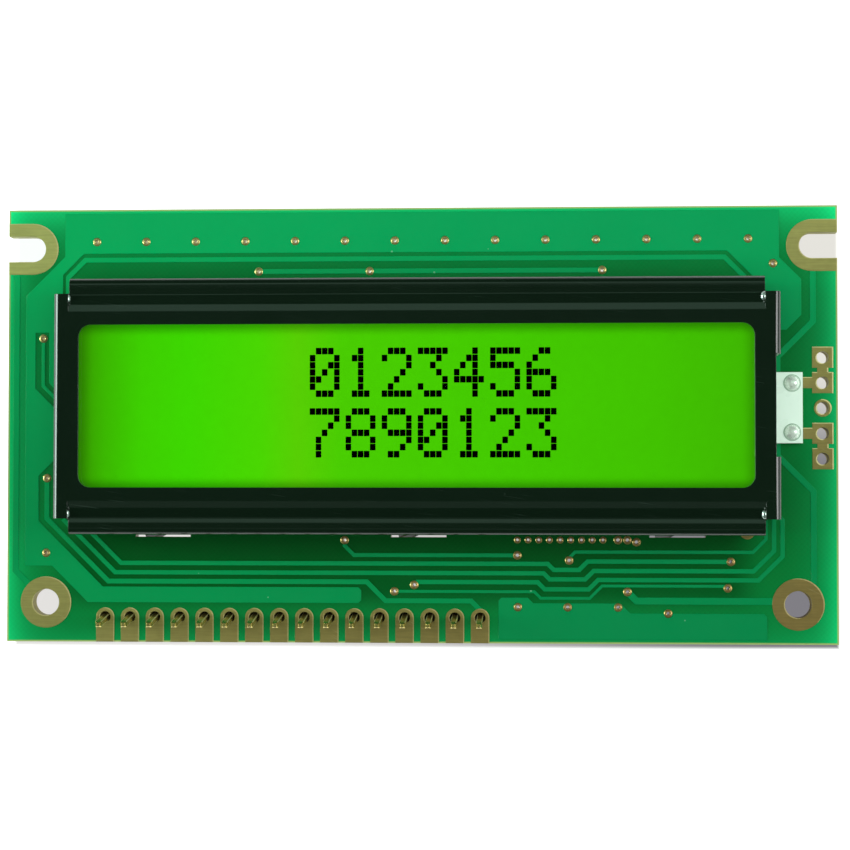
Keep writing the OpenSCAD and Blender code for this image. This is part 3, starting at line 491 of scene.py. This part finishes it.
EPOXY = surface("Black_epoxy", srgb(20, 20, 21), 0.22, 0.06, drift=0.1, grain=1.2, wave=1.0,
                depth=0.02)
RESISTOR = surface("Resistor_glaze", srgb(26, 26, 30), 0.3, 0.06, patch=1.0, depth=0.004)
CERAMIC = surface("Capacitor_ceramic", srgb(168, 140, 108), 0.55, 0.06, patch=1.0, depth=0.004)
BLACK_PLASTIC = surface("Black_plastic", srgb(22, 22, 24), 0.42, 0.08, grain=0.12, depth=0.006)


# ---------------------------------------------------------------- pieces

def dress(material, *names):
    """Gives CAD nodes this material."""
    for name in names:
        mesh = nodes[name].data
        mesh.materials.clear()
        mesh.materials.append(material)


def new_piece(name, mesh):
    """An object at the origin with this mesh."""
    piece = bpy.data.objects.new(name, mesh)
    bpy.context.scene.collection.objects.link(piece)
    return piece


def merged_solids(source):
    """The solids of a CAD node with their triangles joined at their corners."""
    same_point = 0.0005
    work = bmesh.new()
    work.from_mesh(nodes[source].data)
    bmesh.ops.remove_doubles(work, verts=work.verts, dist=same_point * MM)
    return work


def to_mesh(work, name):
    """The work as a mesh; the work itself is freed."""
    mesh = bpy.data.meshes.new(name)
    work.to_mesh(mesh)
    work.free()
    return mesh


def settle(piece):
    """Works the piece's modifiers into its mesh."""
    graph = bpy.context.evaluated_depsgraph_get()
    mesh = bpy.data.meshes.new_from_object(piece.evaluated_get(graph), depsgraph=graph)
    piece.modifiers.clear()
    piece.data = mesh


def flats(work):
    """The flat each face belongs to, by its number, and the area of every flat."""
    same_way = 0.99995
    flat_of = {}
    areas = []
    for first in work.faces:
        if first.index in flat_of:
            continue
        flat_of[first.index] = len(areas)
        area = 0
        front = [first]
        while front:
            face = front.pop()
            area += face.calc_area()
            for near in (f for edge in face.edges for f in edge.link_faces):
                if near.index not in flat_of and near.normal.dot(first.normal) > same_way:
                    flat_of[near.index] = len(areas)
                    front.append(near)
        areas.append(area)
    return flat_of, areas


def shade_bends(piece, angle=50):
    """Smooths the bends between flats and keeps each flat itself evenly lit."""
    work = bmesh.new()
    work.from_mesh(piece.data)
    flat_of, areas = flats(work)
    limit = math.cos(math.radians(angle))
    normals = []
    for face in work.faces:
        for vert in face.verts:
            turned = Vector()
            for near in vert.link_faces:
                if near.normal.dot(face.normal) > limit:
                    turned += near.normal * (areas[flat_of[near.index]] / MM ** 2) ** 2
            normals.append(turned.normalized() if turned.length else face.normal.copy())
    work.free()
    piece.data.shade_smooth()
    piece.data.normals_split_custom_set(normals)


def break_edges(piece, width, angle):
    """Cuts the sharp edges to a small round."""
    bevel = piece.modifiers.new("Broken edges", "BEVEL")
    bevel.width = width * MM
    bevel.segments = 2
    bevel.limit_method = "ANGLE"
    bevel.angle_limit = math.radians(angle)
    bevel.use_clamp_overlap = False
    bevel.miter_outer = "MITER_ARC"
    settle(piece)


def hand_over(piece, slot, *replaced):
    """The piece rides on the module and stands for CAD nodes."""
    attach(piece, "root")
    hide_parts(*replaced)


def add_highlight_strips(work, width):
    """Thin strips of painted highlight along the upper edges that face +X and +Y, as second
    material.
    """
    toward = (0.85, 0.5)
    lift = Vector((0, 0, 0.002 * MM))
    strips = []
    for edge in work.edges:
        up = [f for f in edge.link_faces if f.normal.z > 0.99]
        side = [f for f in edge.link_faces if abs(f.normal.z) < 0.1]
        if not up or not side:
            continue
        out = side[0].normal
        # Only edges that face +X and +Y get the painted highlight
        share = out.x * toward[0] + out.y * toward[1]
        if share < 0.25:
            continue
        inward = -out * width * min(share, 1.0) * MM + lift
        a, b = (vert.co.copy() for vert in edge.verts)
        strips.append((a, b, b + inward, a + inward))
    for corners in strips:
        face = work.faces.new([work.verts.new(corner) for corner in corners])
        face.normal_update()
        if face.normal.z < 0:
            face.normal_flip()
        face.material_index = 1


def highlighted_copy(name, source, rim, width):
    """A CAD node's flat gold, with pale painted highlights along its edges that face +X and +Y.
    """
    work = merged_solids(source)
    add_highlight_strips(work, width)
    piece = new_piece(name, to_mesh(work, name))
    shade_bends(piece)
    piece.data.materials.append(GOLD)
    piece.data.materials.append(rim)
    hand_over(piece, "gold", source)


def finer_copy(name, source, material, slot, width=0.0, angle=50):
    """A CAD node's solids in place of the node, with their edges broken to this width."""
    piece = new_piece(name, to_mesh(merged_solids(source), name))
    if width:
        break_edges(piece, width, angle)
    shade_bends(piece, angle)
    piece.data.materials.clear()
    piece.data.materials.append(material)
    hand_over(piece, slot, source)
    return piece


def islands(work):
    """The separate solids of a mesh: the vertices of each."""
    left = set(work.verts)
    found = []
    for seed in work.verts:
        if seed not in left:
            continue
        left.discard(seed)
        island = {seed}
        front = [seed]
        while front:
            for edge in front.pop().link_edges:
                for vert in edge.verts:
                    if vert in left:
                        left.discard(vert)
                        island.add(vert)
                        front.append(vert)
        found.append(island)
    return found


def span_of(verts):
    """Lowest and highest corner of some vertices, in millimetres."""
    points = [v.co / MM for v in verts]
    return (Vector([min(p[i] for p in points) for i in range(3)]),
            Vector([max(p[i] for p in points) for i in range(3)]))


def lathe(name, outline, steps):
    """A solid turned round Z from an outline of (radius, height) in millimetres."""
    work = bmesh.new()
    rings = []
    for radius, height in outline:
        if radius < 1e-6:
            rings.append([work.verts.new((0, 0, height * MM))])
            continue
        rings.append([work.verts.new((
            radius * MM * math.cos(2 * math.pi * i / steps),
            radius * MM * math.sin(2 * math.pi * i / steps), height * MM))
            for i in range(steps)])
    for lower, upper in zip(rings, rings[1:] + rings[:1]):
        if len(lower) == 1 and len(upper) == 1:
            continue
        for i in range(steps):
            j = (i + 1) % steps
            corners = [lower[i % len(lower)], lower[j % len(lower)],
                       upper[j % len(upper)], upper[i % len(upper)]]
            work.faces.new(list(dict.fromkeys(corners)))
    bmesh.ops.recalc_face_normals(work, faces=work.faces)
    return to_mesh(work, name)


def build_set_out():
    """Puts a copy of one part at every point, at the size that the point carries."""
    tree = bpy.data.node_groups.new("Set out parts", "GeometryNodeTree")
    for label, kind in (("Points", "Geometry"), ("Part", "Object"), ("Finish", "Material")):
        tree.interface.new_socket(label, in_out="INPUT", socket_type="NodeSocket" + kind)
    tree.interface.new_socket("Parts", in_out="OUTPUT", socket_type="NodeSocketGeometry")
    g = Graph(tree)
    given = g.add("NodeGroupInput").outputs
    result = g.add("NodeGroupOutput").inputs
    part = g.add("GeometryNodeObjectInfo", {"Object": given["Part"]})
    size = g.add("GeometryNodeInputNamedAttribute", {"Name": "size"}, data_type="FLOAT_VECTOR")
    placed = g.add("GeometryNodeInstanceOnPoints", {
        "Points": given["Points"], "Instance": part.outputs["Geometry"],
        "Scale": size.outputs["Attribute"]})
    real = g.add("GeometryNodeRealizeInstances", {"Geometry": placed.outputs[0]})
    done = g.add("GeometryNodeSetMaterial", {"Geometry": real.outputs[0],
                                             "Material": given["Finish"]})
    g.fill(result["Parts"], done.outputs[0])
    return tree


SET_OUT = build_set_out()


def set_out(name, part_mesh, places, material, angle=40):
    """One piece from copies of a part, at (point, size) pairs; points are in millimetres."""
    part = new_piece(name + "_part", part_mesh)
    points = bpy.data.meshes.new(name)
    points.from_pydata([Vector(point) * MM for point, size in places], [], [])
    sizes = points.attributes.new("size", "FLOAT_VECTOR", "POINT")
    for i, (point, size) in enumerate(places):
        sizes.data[i].vector = size
    piece = new_piece(name, points)
    modifier = piece.modifiers.new("Set out", "NODES")
    modifier.node_group = SET_OUT
    inputs = {item.name: item.identifier for item in SET_OUT.interface.items_tree
              if item.in_out == "INPUT"}
    modifier[inputs["Part"]] = part
    modifier[inputs["Finish"]] = material
    settle(piece)
    bpy.data.objects.remove(part)
    piece.data.shade_smooth()
    piece.data.set_sharp_from_angle(angle=math.radians(angle))
    return piece


# Each digit on its five by seven dots, row by row from the top, with # for a lit dot
DIGIT_ROWS = {
    "0": (".###.", "#...#", "#..##", "#.#.#", "##..#", "#...#", ".###."),
    "1": ("..#..", ".##..", "..#..", "..#..", "..#..", "..#..", ".###."),
    "2": (".###.", "#...#", "....#", "...#.", "..#..", ".#...", "#####"),
    "3": ("#####", "...#.", "..#..", "...#.", "....#", "#...#", ".###."),
    "4": ("...#.", "..##.", ".#.#.", "#..#.", "#####", "...#.", "...#."),
    "5": ("#####", "#....", "####.", "....#", "....#", "#...#", ".###."),
    "6": ("..##.", ".#...", "#....", "####.", "#...#", "#...#", ".###."),
    "7": ("#####", "....#", "...#.", "..#..", ".#...", ".#...", ".#..."),
    "8": (".###.", "#...#", "#...#", ".###.", "#...#", "#...#", ".###."),
    "9": (".###.", "#...#", "#...#", ".####", "....#", "...#.", ".##.."),
}


def dot_cell(name):
    """One square dot of unit size with its corners just broken."""
    cut = 0.06
    outline = []
    for x, y in ((-0.5, -0.5), (0.5, -0.5), (0.5, 0.5), (-0.5, 0.5)):
        ends = [(x - math.copysign(cut, x), y), (x, y - math.copysign(cut, y))]
        outline += ends if x * y < 0 else ends[::-1]
    work = bmesh.new()
    rings = [[work.verts.new((x, y, z)) for x, y in outline] for z in (-0.5, 0.5)]
    work.faces.new(rings[0])
    work.faces.new(rings[1])
    for i in range(len(outline)):
        j = (i + 1) % len(outline)
        work.faces.new((rings[0][i], rings[0][j], rings[1][j], rings[1][i]))
    bmesh.ops.recalc_face_normals(work, faces=work.faces)
    return to_mesh(work, name)


def build_digits():
    """Counting digits in the display's two rows, as lit dots at the cell's electrodes."""
    columns, first_column = 16, 5
    dot, dot_pitch = (0.55, 0.65), (0.60, 0.70)
    char_w = 4 * dot_pitch[0] + dot[0]
    char_h = 7 * dot_pitch[1] + dot[1]
    step_x = (cells_high.x - cells_low.x - char_w) / (columns - 1)
    step_y = cells_high.y - cells_low.y - char_h
    thick = cells_high.z - cells_low.z
    level = (cells_high.z + cells_low.z) / 2
    places = []
    for row, text in enumerate(("0123456", "7890123")):
        top = cells_high.y - row * step_y - dot[1] / 2
        for column, digit in enumerate(text, first_column):
            left = cells_low.x + column * step_x + dot[0] / 2
            for j, line in enumerate(DIGIT_ROWS[digit]):
                for i, mark in enumerate(line):
                    if mark == "#":
                        places.append((
                            (left + i * dot_pitch[0], top - j * dot_pitch[1], level),
                            (dot[0] * MM, dot[1] * MM, thick * MM)))
    piece = set_out("Display_digits", dot_cell("Dot"), places, DOTS)
    hand_over(piece, "display_dots", "character_cells")


def build_vias():
    """Round gold beads on every via, and the flat test pad beside the bezel."""
    shortest_via = 0.5
    work = merged_solids("plated_vias")
    places = []
    pads = []
    for island in islands(work):
        low, high = span_of(island)
        middle = (low + high) / 2
        if high.z - low.z < shortest_via:
            pads.append(island)
        else:
            places.append(((middle.x, middle.y, 0), (high.x - low.x, high.x - low.x, 1)))
            bottom, top = low.z, high.z
    keep = set().union(*pads)
    bmesh.ops.delete(work, geom=[v for v in work.verts if v not in keep], context="VERTS")
    pad = new_piece("Test_pad", to_mesh(work, "Test_pad"))
    shade_bends(pad)
    pad.data.materials.append(GOLD)
    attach(pad, "root")

    # The upper bead from its bore outwards, the shank in the board, then the lower bead back
    # to the bore; radii are shares of the via's width
    rear = bottom + top
    upper = [(0.2, top * 0.55), (0.23, top * 0.86), (0.27, top), (0.33, top * 0.93),
             (0.4, top * 0.68), (0.46, top * 0.32), (0.5, 0.0)]
    shank = [(0.26, 0.0), (0.26, rear)]
    lower = [(radius, rear - height) for radius, height in upper[::-1]]
    piece = set_out("Gold_vias", lathe("Via", upper + shank + lower, 28), places, BEAD_GOLD)
    hand_over(piece, "gold", "plated_vias")


def build_pins():
    """The header pins, with a pale painted highlight on their long corners."""
    piece = finer_copy("Pins", "header_pins", PIN_GOLD, "pin_gold", 0.07, 30)
    piece.data.materials.append(PALE_GOLD_HIGHLIGHT)
    # The faces between the sides take the pale gold as a painted highlight
    for face in piece.data.polygons:
        between_sides = 0.3 < abs(face.normal.x) < 0.95 and abs(face.normal.z) < 0.4
        face.material_index = int(between_sides)


def is_sheared(face):
    """True for a face of the bezel that the punch cut, so that it has no lacquer."""
    near = 0.08
    across, along = abs(face.normal.x) > 0.98, abs(face.normal.y) > 0.98
    at = face.calc_center_median() / MM
    x, y = abs(at.x), abs(at.y - DISPLAY_Y)
    in_window = x < WINDOW[0] / 2 + near and y < WINDOW[1] / 2 + near
    ledge_end = across and abs(x - LEDGE_END) < near
    wall_end = along and x > LEDGE_END and min(abs(y - END_WALL), abs(y - EAR_GAP)) < near
    front_sheet = at.z > bezel_top.z - 0.8
    upright = abs(face.normal.z) < 0.2
    return upright and ((in_window and front_sheet) or ledge_end or wall_end)


def build_bezel():
    """The bezel in black lacquer, with bare steel on its sheared edges."""
    work = merged_solids("bezel")
    for face in work.faces:
        face.material_index = int(is_sheared(face))
    piece = new_piece("Steel_bezel", to_mesh(work, "Steel_bezel"))
    piece.data.materials.append(STEEL)
    piece.data.materials.append(CUT_STEEL)
    shade_bends(piece, 40)
    hand_over(piece, "black_steel", "bezel")


def build_slope_beads():
    """The sheet's torn corners at the ends of the ledges' slopes, as small bright beads."""
    radii = (0.3, 0.5, 0.34)
    level = bezel_top.z - 0.36
    places = [((x, DISPLAY_Y + side * SLOPE_Y, level), radii)
              for x in (-LEDGE_END - 0.1, LEDGE_END - 0.15) for side in (-1, 1)]
    turns = [i * math.pi / 16 for i in range(-7, 8)]
    arc = [(math.cos(turn), math.sin(turn)) for turn in turns]
    ball = [(0.0, -1.0)] + arc + [(0.0, 1.0)]
    beads = set_out("Slope_beads", lathe("Bead", ball, 32), places, TORN_STEEL, 60)
    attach(beads, "root")


def build_joints():
    """Solder over the two lead ends, on the ear with a line of flux round it, and behind."""
    work = merged_solids("backlight_leads")
    middles = [(low + high) / 2 for low, high in map(span_of, islands(work))]
    work.free()
    low, high = size_mm("lead_solder")
    radius = 0.8
    height = high.z - ear_top.z
    fronts = [((at.x, at.y, ear_top.z), (1, 1, 1)) for at in middles]
    rears = [((at.x, at.y, low.z + height), (1, 1, -1)) for at in middles]

    sunk = 0.03
    steps = 8
    cap = [(radius * (1 - t / steps), height * math.sin(math.pi / 2 * (t / steps) ** 0.72))
           for t in range(steps + 1)]
    outline = [(0.0, -sunk), (radius, -sunk)] + cap
    piece = set_out("Solder_joints", lathe("Joint", outline, 40), fronts + rears, SOLDER, 60)
    hand_over(piece, "solder", "lead_solder")

    ring = [(radius - 0.02, -0.02), (radius + 0.09, -0.02), (radius + 0.07, 0.03),
            (radius - 0.02, 0.04)]
    rims = set_out("Joint_rims", lathe("Rim", ring, 40), fronts, FLUX, 60)
    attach(rims, "root")


def build_drop(name, source):
    """A drop of epoxy with a slightly wandering edge and a low crown."""
    low, high = size_mm(source)
    centre = (low + high) / 2
    reach = (high.x - low.x) / 2
    tall = high.z - low.z
    rings, steps = 14, 96
    work = bmesh.new()
    rows = []
    for k in range(rings + 1):
        t = k / rings
        row = []
        for i in range(steps):
            a = 2 * math.pi * i / steps
            wander = 1 - 0.012 * (1 + math.sin(3 * a + reach) * 0.6 + math.sin(7 * a) * 0.4)
            r = reach * wander * math.cos(math.pi / 2 * t) ** 0.6
            z = high.z - tall * math.sin(math.pi / 2 * t)
            row.append(work.verts.new(Vector((centre.x + r * math.cos(a),
                                              centre.y + r * math.sin(a), z)) * MM))
        rows.append(row)
    for lower, upper in zip(rows, rows[1:]):
        for i in range(steps):
            j = (i + 1) % steps
            work.faces.new((lower[i], lower[j], upper[j], upper[i]))
    work.faces.new(rows[0])
    bmesh.ops.remove_doubles(work, verts=work.verts, dist=0.001 * MM)
    bmesh.ops.recalc_face_normals(work, faces=work.faces)
    piece = new_piece(name, to_mesh(work, name))
    piece.data.materials.append(EPOXY)
    piece.data.shade_smooth()
    piece.data.set_sharp_from_angle(angle=math.radians(60))
    hand_over(piece, "black_epoxy", source)


dress(BOARD, "circuit_board")
dress(FILM, "front_polariser")
dress(GLASS, "front_glass")
dress(GLOW, "liquid_crystal", "cell_seal")
dress(REAR_CELL, "rear_glass", "rear_polariser")
dress(ELASTOMER, "upper_contact_strip", "lower_contact_strip")
dress(GOLD, "strip_contacts")
dress(WHITE_PLASTIC, "backlight_frame", "diffuser_sheet")
dress(GUIDE, "light_guide")
dress(EMITTER, "light_emitters")
dress(TINNED, "backlight_leads")

finer_copy("Front_copper", "front_tracks", COPPER_MASK, "masked_copper")
finer_copy("Rear_copper", "rear_tracks", COPPER_MASK, "masked_copper")
highlighted_copy("Fixing_gold", "mounting_rings", DULL_GOLD_HIGHLIGHT, 0.12)
highlighted_copy("Header_gold", "header_pads", DULL_GOLD_HIGHLIGHT, 0.1)
highlighted_copy("Terminal_gold", "terminal_pads", PALE_GOLD_HIGHLIGHT, 0.14)
finer_copy("Backlight_ear", "backlight_board", WHITE_MASK, "white_mask")
build_pins()
finer_copy("Pin_strip", "header_insulator", BLACK_PLASTIC, "black_plastic", 0.05, 30)
finer_copy("Chip_solder", "chip_lands", SOLDER, "solder", 0.02)
finer_copy("Chip_ends", "chip_caps", TINNED, "solder", 0.05)
finer_copy("Resistors", "resistor_bodies", RESISTOR, "resistor_black", 0.03)
finer_copy("Capacitors", "capacitor_bodies", CERAMIC, "capacitor_tan", 0.05)
build_bezel()
build_slope_beads()
build_vias()
build_digits()
build_joints()
build_drop("Controller_epoxy", "controller_drop")
build_drop("Driver_epoxy", "driver_drop")


# ---------------------------------------------------------------- studio

def place_camera():
    """Nearly square above the display, a little to the right and below its middle."""
    data = bpy.data.cameras.new("Camera")
    data.lens = 96.25
    data.sensor_width = 36
    camera = bpy.data.objects.new("Camera", data)
    camera.location = Vector((13.82, -6.75, 229.17)) * MM
    camera.rotation_euler = [math.radians(a) for a in (1.683, 3.293, 0.039)]
    data.clip_start, data.clip_end = 0.01, 100
    bpy.context.scene.collection.objects.link(camera)
    bpy.context.scene.camera = camera


def softbox(name, azimuth, from_zenith, distance, size, power):
    """A soft lamp that faces the module, placed by its direction and distance in metres."""
    data = bpy.data.lights.new(name, "AREA")
    data.shape = "RECTANGLE"
    data.size, data.size_y = size
    data.energy = power
    light = bpy.data.objects.new(name, data)
    a, t = math.radians(azimuth), math.radians(from_zenith)
    toward = Vector((math.sin(t) * math.cos(a), math.sin(t) * math.sin(a), math.cos(t)))
    light.location = toward * distance
    light.rotation_euler = (-toward).to_track_quat("-Z", "Y").to_euler()
    bpy.context.scene.collection.objects.link(light)
    return light


def light_studio():
    """Even light from overhead that no reflection shows, and a lamp at each end.

    What the gloss mirrors is a dark room with dim low walls and a pale band on the ceiling
    behind the module and, fainter, before it. The camera itself sees white.
    """
    left = softbox("Left_lamp", 178, 74, 0.62, (0.22, 0.3), 2.9)
    left.data.color = (0.82, 1.0, 0.92)
    softbox("Right_lamp", 5, 50, 0.62, (0.26, 0.2), 1.3)
    fill = softbox("Overhead_fill", 0, 0, 1.0, (0.9, 0.9), 5.9)
    fill.visible_glossy = False
    fill.visible_transmission = False
    world = bpy.data.worlds.new("World")
    bpy.context.scene.world = world
    world.use_nodes = True
    world.node_tree.nodes.clear()
    g = Graph(world.node_tree)
    rays = g.add("ShaderNodeLightPath").outputs
    y, up = g.parts(g.add("ShaderNodeTexCoord").outputs["Generated"])[1:]
    aside = g.span(g.math("ABSOLUTE", y), 0.3, 0.9, 1.0, 0.3)
    low_walls = g.math("MULTIPLY", g.span(up, 0.0, 0.55, 1.0, 0.0), aside)
    overhead = g.span(up, 0.0, 0.1)
    behind = g.math("MULTIPLY", g.span(y, 0.11, 0.18), g.span(y, 0.46, 0.36))
    before = g.math("MULTIPLY", g.span(y, -0.12, -0.18), g.span(y, -0.46, -0.36))
    strips = g.math("MULTIPLY", overhead, g.math("MULTIPLY_ADD", before, 0.25, behind))
    light = g.math("ADD", low_walls, g.math("MULTIPLY", strips, 0.75))
    tint = g.mix(strips, (0.74, 1, 0.86, 1), (0.6, 1.0, 0.76, 1))
    dome = g.add("ShaderNodeBackground", {"Color": tint, "Strength": light})
    white = g.add("ShaderNodeBackground", {"Color": (1, 1, 1, 1), "Strength": 1.0})
    seen = g.add("ShaderNodeMixShader", {0: rays["Is Camera Ray"], 1: dome.outputs[0],
                                         2: white.outputs[0]})
    output = g.add("ShaderNodeOutputWorld")
    g.fill(output.inputs["Surface"], seen.outputs[0])


def lay_floor():
    """A plain white floor that keeps the module's shadow; under the board it carries painted
    shade, darkest at the lower right, seen through the holes.
    """
    mesh = bpy.data.meshes.new("Floor")
    reach = 3
    z = cad_low.z - 0.2 * MM
    mesh.from_pydata([(-reach, -reach, z), (reach, -reach, z), (reach, reach, z),
                      (-reach, reach, z)], [], [(0, 1, 2, 3)])
    floor = new_piece("Floor", mesh)
    material, g = new_material("Floor_white")
    place = g.place()
    x, y = g.parts(place)[:2]
    rays = g.add("ShaderNodeLightPath").outputs
    shown = g.math("MAXIMUM", rays["Is Camera Ray"], g.math(
        "MAXIMUM", rays["Is Glossy Ray"], rays["Is Transmission Ray"]))
    from_end, from_side = edge_distances(g, place)
    # Painted shade under the board: its diffuse colour nearly black and its glow grey, darker
    # towards the lower right
    under = g.span(g.math("MINIMUM", from_end, from_side), -1.2, -0.6)
    at_left = g.mix(g.span(y, -16.0, 16.0), srgb(226, 224, 221), srgb(250, 255, 252))
    at_right = g.mix(g.span(y, -5.0, 7.0), srgb(126, 124, 130), srgb(228, 226, 219))
    shade = g.mix(g.span(x, -20.0, 36.0), at_left, at_right)
    matt = g.add("ShaderNodeBsdfDiffuse", {
        "Color": g.mix(under, (0.85, 0.85, 0.85, 1), (0.02, 0.02, 0.02, 1))})
    glow = g.add("ShaderNodeEmission", {
        "Color": g.mix(under, (0.8, 0.8, 0.8, 1), shade), "Strength": 1.0})
    both = g.add("ShaderNodeAddShader", {0: matt.outputs[0], 1: glow.outputs[0]})
    close_material(g, g.add("ShaderNodeMixShader", {0: shown, 1: matt.outputs[0],
                                                    2: both.outputs[0]}))
    mesh.materials.append(material)


bpy.context.scene.view_settings.view_transform = "Standard"
place_camera()
light_studio()
lay_floor()
